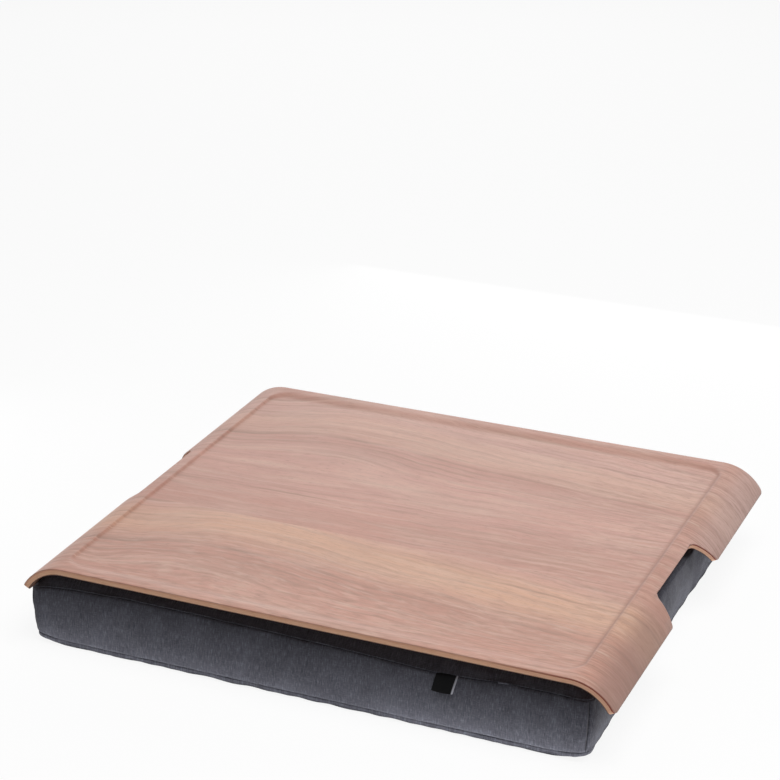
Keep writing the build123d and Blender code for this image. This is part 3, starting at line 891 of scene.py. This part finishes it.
def puckerSeams(bm):
    # short uneven gathers along the seams, and slow waves in the bands
    panelLayer, flatLayer = layersOf(bm)
    bm.normal_update()
    along, up = cushion["waveSize"]
    seams = []
    for vert in bm.verts:
        panels = panelsAt(vert, panelLayer)
        x, y, z = vert[flatLayer]
        if panels & {2, 3, 4}:
            toSeam = min(z - cushion["baseSeam"], cushion["topSeam"] - z)
        elif 0 in panels:
            toSeam = insetOf(x, y)
        elif panels & {5, 6}:
            toSeam = 60  # the back is held flat by its zip
        else:
            continue
        if len(panels) > 1:
            seams.append(vert)
        size = cushion["gatherSize"]
        gather = noise.noise(Vector((x / size, y / size, 3.1))) * math.exp(-toSeam / cushion["gatherReach"])
        wave = noise.noise(Vector((x / along, y / along, z / up + 8.2)))
        wave *= 0 if panels & {0, 5, 6} else cushion["wave"]
        vert.co += vert.normal * mm * (cushion["gather"] * gather + wave)
    for vert in seams:
        vert.co -= vert.normal * cushion["seamTuck"] * mm
    for vert in bm.verts:
        vert.co.z = max(vert.co.z, 0)


def makePanel(form, name, number, node, axes):
    bm = form.copy()
    panelLayer, flatLayer = layersOf(bm)
    bmesh.ops.delete(bm, geom=[f for f in bm.faces if f[panelLayer] != number], context="FACES")
    if number in (5, 6):
        left, right, low, high = cushion["zipWindow"]
        window = [f for f in bm.faces if left < f.calc_center_median().x / mm < right
                  and low < sum(v[flatLayer].z for v in f.verts) / len(f.verts) < high]
        bmesh.ops.delete(bm, geom=window, context="FACES")
        # the two strips are folded in along the zip
        for vert in bm.verts:
            flat = vert[flatLayer]
            if vert.is_boundary and left - 1 < flat.x < right + 1 and low - 1 < flat.z < high + 1:
                vert.co.y -= cushion["zipFold"] * mm
    mapCloth(bm, lambda co: [co[axis] for axis in axes])
    piece = addPiece(name, bm, heather, "cushion", [node])
    subdivide(piece, 1).boundary_smooth = "PRESERVE_CORNERS"
    thicken(piece, cushion["clothThickness"], -1)


def buildCushion():
    form = cutCushionBox()
    swellCushion(form)
    puckerSeams(form)
    for panel in panelPieces:
        makePanel(form, *panel)
    surface = BVHTree.FromBMesh(form)
    form.free()
    return surface


coverSurface = buildCushion()
print("cushion sewn")

# Inside: a thin white liner in two halves round expanded polystyrene beads, dull and slightly pearly
inside = {"linerInset": 2.6, "linerThickness": 0.6, "splitHeight": 23.25, "fillingInset": 3.8, "zipRoom": 3}
linerCloth, beadFoam = (makePatterned(name, {
    "shader": {"Roughness": roughness, "Specular IOR Level": 0.3}, "colours": (colour, "#9A9A96"),
    "pattern": ("TexVoronoi", {"Scale": 1 / (size * mm)}, "Distance"), "span": 0.9, "most": 0.35,
    "relief": (0.6, depth, True)})
    for name, colour, roughness, size, depth in (
        ("white non-woven liner", "#D9D8D4", 0.9, 1.2, 0.1),
        ("expanded polystyrene beads", "#F1F1EE", 0.55, 3.5, 1.2)))


def shrunkForm(inset):
    # the cushion's form this far inside, clear of the zip
    bm = cutCushionBox()
    bm.normal_update()
    moves = [vert.normal * -inset * mm for vert in bm.verts]
    for vert, move in zip(bm.verts, moves):
        vert.co += move
        vert.co.y = min(vert.co.y, (cushion["back"] - inset - inside["zipRoom"]) * mm)
    return bm


def buildInside():
    for name, node, clearTop in (("linerLower", "liner_lower", True), ("linerUpper", "liner_upper", False)):
        bm = shrunkForm(inside["linerInset"])
        bmesh.ops.bisect_plane(bm, geom=bm.verts[:] + bm.edges[:] + bm.faces[:], dist=1e-6,
                               plane_co=(0, 0, inside["splitHeight"] * mm), plane_no=(0, 0, 1),
                               clear_outer=clearTop, clear_inner=not clearTop)
        piece = addPiece(name, bm, linerCloth, "cushion", [node])
        thicken(piece, inside["linerThickness"], -1)
    filling = shrunkForm(inside["fillingInset"])
    piece = addPiece("beadFilling", filling, beadFoam, "cushion", ["bead_filling"])


buildInside()
print("inner cushion filled")

# Hook and loop tape: black nylon, the hooks a stiff stubble, the loops a matted pile, each with a woven edge
tapes = {
    "edge": 2.5, "edgeStep": 0.5, "edgeDrop": 0.45, "corner": 3, "cornerCuts": 5, "sharpAngle": 35,
    "seamInset": 1.3, "seamRise": 0.05,
}
hookNylon, loopNylon = (makePatterned(name, {
    "shader": {"Roughness": roughness, "Sheen Weight": 0.15}, "colours": ("#4A4A50", colour),
    "pattern": ("TexVoronoi", {"Scale": 1 / (size * mm), "Randomness": 0.55}, "Distance"), "span": 0.8,
    "relief": (0.8, depth, True)})
    for name, colour, roughness, size, depth in (
        ("moulded nylon hooks", "#17171A", 0.45, 1.3, 0.8),
        ("brushed nylon loops", "#222227", 0.95, 0.8, 0.5)))


def buildTape(name, node, material, body, pileUp):
    # a flat tape with cut corners, its woven edge lower than the pile in the middle
    low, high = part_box(node)
    bm = boxBetween(low, high)
    upright = [e for e in bm.edges if abs(e.verts[0].co.z - e.verts[1].co.z) > 0.5 * (high.z - low.z)]
    roundOff(bm, upright, tapes["corner"] * mm, tapes["cornerCuts"])
    bm.normal_update()
    side, face = (1, high.z) if pileUp else (-1, low.z)
    pile = [f for f in bm.faces if f.normal.z * side > 0.9]
    for width in (tapes["edge"], tapes["edgeStep"]):
        bmesh.ops.inset_region(bm, faces=pile, thickness=width * mm, use_even_offset=True)
    raised = {v for f in pile for v in f.verts}
    edge = [v for v in bm.verts if v not in raised and abs(v.co.z - face) < 1e-6]
    bmesh.ops.translate(bm, verts=edge, vec=(0, 0, tapes["edgeDrop"] * mm * -side))
    piece = addPiece(name, bm, material, body, [node])
    piece.data.set_sharp_from_angle(angle=math.radians(tapes["sharpAngle"]))


for i in (1, 2, 3, 4):
    buildTape(f"hookTape{i}", f"hook_tape_{i}", hookNylon, "tray", False)
    buildTape(f"loopTape{i}", f"loop_tape_{i}", loopNylon, "cushion", True)
print("tapes fixed")

# Polyester sewing thread, twisted, with a faint sheen: a stitch's length, width and height, and its pitch
thread = {"length": 2.4, "width": 0.48, "height": 0.384, "dip": 0.06, "rounding": 0.1, "pitch": 3.4}
threadMaterial = makePatterned("twisted polyester thread", {
    "shader": {"Roughness": 0.6, "Sheen Weight": 0.3}, "colours": ("#35353D", "#6A6A74"),
    "pattern": ("TexWave", {"Scale": 900.0, "Distortion": 1.0}, "Fac"), "direction": "DIAGONAL"})


def sewRows(name, rows, body):
    # stitches along straight rows; a row is its two ends and the direction that the cloth faces, in metres
    bm = bmesh.new()
    size = [thread[key] * mm for key in ("length", "width", "height")]
    for start, end, outward in rows:
        run = end - start
        count = int(run.length / (thread["pitch"] * mm))
        direction = run.normalized()
        turn = Matrix((direction, outward.cross(direction), outward)).transposed().to_4x4()
        for i in range(count):
            middle = start + run * ((i + 0.5) / count)
            made = addShape(bm, bmesh.ops.create_cube(bm, size=1), middle, size, turn)
            ends = [v for v in made if abs((v.co - middle).dot(direction)) > 0.4 * thread["length"] * mm]
            bmesh.ops.translate(bm, verts=ends, vec=outward * -thread["dip"] * mm)
    roundOff(bm, bm.edges[:], thread["rounding"] * mm, 1)
    addPiece(name, bm, threadMaterial, body)


def sewLoopTapes():
    rows = []
    for i in (1, 2, 3, 4):
        low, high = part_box(f"loop_tape_{i}")
        edge, z = tapes["seamInset"] * mm, high.z - (tapes["edgeDrop"] - tapes["seamRise"]) * mm
        left, right, front, back = low.x + edge, high.x - edge, low.y + edge, high.y - edge
        corners = [Vector((x, y, z)) for x, y in ((left, front), (right, front), (right, back), (left, back))]
        rows += [(corners[j], corners[(j + 1) % 4], Vector((0, 0, 1))) for j in range(4)]
    sewRows("loopTapeStitches", rows, "cushion")


sewLoopTapes()

# The label is a black satin ribbon folded double, sewn into the top seam by its ends; it carries no words
label = {
    "place": 105.6, "width": 16.6, "top": 43.6, "length": 12, "tilt": -9, "thickness": 0.35, "columns": 6,
    # the pale strip at the label's right edge is a painted highlight
    "colour": "#050506", "ribColour": "#0B0B0D", "highlightColour": "#B4B4BE", "highlightStrip": (0.41, 0.45),
    "curl": 0.35, "curlTurn": 5, "lowestTouch": 12,
    # how far down the label, how far out from the band
    "path": ((0.0, -0.4), (0.12, 1.0), (0.35, 2.0), (0.65, 2.9), (0.9, 3.5), (0.99, 3.4),
             (1.0, 2.9), (0.95, 2.4), (0.7, 1.9), (0.4, 1.2), (0.15, 0.5), (0.02, -0.8)),
}


def makeLabelMaterial():
    material, tree, shader = startMaterial("black woven satin label",
                                           {"Roughness": 0.6, "Specular IOR Level": 0.08})
    black, rib, edge = (linearColour(label[key]) for key in ("colour", "ribColour", "highlightColour"))
    place = addNode(tree, "UVMap", {"uv_map": "clothPlace"}).outputs["UV"]
    ribs = addNode(tree, "TexWave", {"bands_direction": "Y"},
                   {"Vector": place, "Scale": 520.0, "Distortion": 0.4}).outputs["Fac"]
    # a pale strip along the right edge is a painted highlight
    sideways = addNode(tree, "SeparateXYZ", None, {0: place}).outputs["X"]
    low, high = (label["width"] * share * mm for share in label["highlightStrip"])
    colour = layTint(tree, layTint(tree, black, rib, ribs), edge, sideways, low, high)
    finishMaterial(tree, shader, colour, ribs, 0.3, 0.1)
    return material


def bandFace(x, z):
    # how far forward the front band's cloth is at this place, in millimetres
    hit = coverSurface.ray_cast(Vector((x, -400, z)) * mm, Vector((0, 1, 0)))[0]
    return hit.y / mm


def buildLabel():
    bm = bmesh.new()
    rows = len(label["path"])
    bmesh.ops.create_grid(bm, x_segments=label["columns"], y_segments=rows - 1, size=0.5)
    mapCloth(bm, lambda co: (co.x * label["width"] * mm, co.y * 2 * label["length"] * mm))
    for vert in bm.verts:
        share, step = vert.co.x, round((vert.co.y + 0.5) * (rows - 1))
        down, out = label["path"][step]
        lean = math.tan(math.radians(label["tilt"])) * label["length"] * down
        x = label["place"] + label["width"] * share + lean
        z = label["top"] - label["length"] * down + share
        out += label["curl"] * down * math.cos(share * label["curlTurn"])
        vert.co = Vector((x, bandFace(x, max(z, label["lowestTouch"])) - out, z)) * mm
    bmesh.ops.recalc_face_normals(bm, faces=bm.faces[:])
    piece = addPiece("sideLabel", bm, makeLabelMaterial(), "cushion", ["side_label"])
    thicken(piece, label["thickness"], 0)
    subdivide(piece, 2)


buildLabel()
print("label sewn in")

# The zip: twill tapes, moulded nylon coils and a gunmetal plated slider, pull and stops
zipParts = {
    "coilPitch": 1.6, "toothLength": 2.5, "toothWidth": 0.95, "cordInset": 0.7, "cordHeight": 1.2,
    "tapeEdge": 0.15, "metalEdge": 0.12, "metalAngle": 40, "weldReach": 0.002,
    "stitchGap": 1.8, "stitchOut": 0.15,
    "metalNodes": ("zip_bottom_stop", "zip_top_stop", "zip_slider", "zip_pull"), "wornColour": "#B5B5B8",
}


def makeGlossy(name, colour, roughness, metallic, wear):
    # a moulded or plated surface with faint handling marks
    material, tree, shader = startMaterial(name, {"Metallic": metallic})
    place = addNode(tree, "TexCoord").outputs["Object"]
    marks = addNode(tree, "TexNoise", None,
                    {"Vector": place, "Scale": 900.0, "Detail": 4.0, "Roughness": 0.65}).outputs["Fac"]
    rough = addNode(tree, *plainRange, {
        "Value": marks, "From Min": 0.35, "From Max": 0.7, "To Min": roughness, "To Max": roughness + 0.2})
    setInputs(tree, shader, {"Roughness": rough})
    worn = linearColour(zipParts["wornColour"])
    finishMaterial(tree, shader, layTint(tree, linearColour(colour), worn, marks, 0.55, 0.75, wear))
    return material


twill = makePatterned("polyester twill tape", {
    "shader": {"Roughness": 0.85, "Sheen Weight": 0.2}, "colours": ("#2A2A31", "#45454E"),
    "turn": (0, 0.8, 0), "pattern": ("TexWave", {"Scale": 380.0, "Distortion": 0.5}, "Fac"),
    "relief": (0.5, 0.15, False)})
coilNylon = makeGlossy("moulded black nylon coil", "#1D1D20", 0.35, 0.0, 0.05)
gunmetal = makeGlossy("gunmetal plated zinc", "#77787C", 0.28, 1.0, 0.25)


def buildZipHalf(half, side):
    bm = boxBetween(*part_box(f"zip_tape_{half}"))
    roundOff(bm, bm.edges[:], zipParts["tapeEdge"] * mm, 2)
    addPiece(f"zipTape{half.title()}", bm, twill, "cushion", [f"zip_tape_{half}"])

    # each tooth of the coil is a rounded loop; the two rows mesh half a pitch apart
    low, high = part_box(f"zip_coil_{half}")
    bm = bmesh.new()
    pitch, length, width = (zipParts[k] * mm for k in ("coilPitch", "toothLength", "toothWidth"))
    deep = high.y - low.y
    outer = low.z if side < 0 else high.z
    for i in range(int((high.x - low.x - pitch) / pitch)):
        x = low.x + pitch * (i + (0.5 if side < 0 else 1))
        tooth = bmesh.ops.create_uvsphere(bm, u_segments=8, v_segments=5, radius=0.5)
        middle = (x, (low.y + high.y) / 2, outer - side * length / 2)
        addShape(bm, tooth, middle, (width, deep * 1.08, length))
    # the cord that the teeth are sewn over
    middle = ((low.x + high.x) / 2, low.y + deep * 0.3, outer - side * zipParts["cordInset"] * mm)
    size = (high.x - low.x, deep * 0.55, zipParts["cordHeight"] * mm)
    addShape(bm, bmesh.ops.create_cube(bm, size=1), middle, size)
    addPiece(f"zipCoil{half.title()}", bm, coilNylon, "cushion", [f"zip_coil_{half}"])


def dressZipMetal():
    for node in zipParts["metalNodes"]:
        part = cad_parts[node]
        part.data.materials.clear()
        part.data.materials.append(gunmetal)
        weld = part.modifiers.new("joinedEdges", "WELD")
        weld.merge_threshold = zipParts["weldReach"] * mm
        rounded = part.modifiers.new("softEdges", "BEVEL")
        rounded.width, rounded.segments, rounded.limit_method = zipParts["metalEdge"] * mm, 2, "ANGLE"
        rounded.angle_limit = math.radians(zipParts["metalAngle"])


def sewZip():
    # a row along each long side of the zip and one across each end
    left, right, low, high = cushion["zipWindow"]
    gap, y = zipParts["stitchGap"], (cushion["back"] + zipParts["stitchOut"]) * mm
    under, over = low - gap, high + gap
    lines = [((left, z), (right, z)) for z in (under, over)]
    lines += [((x, under), (x, over)) for x in (left - gap, right + gap)]
    rows = [[Vector((x * mm, y, z * mm)) for x, z in line] + [Vector((0, 1, 0))] for line in lines]
    sewRows("zipStitches", rows, "cushion")


buildZipHalf("lower", -1)
buildZipHalf("upper", 1)
dressZipMetal()
sewZip()
print("zip fitted")
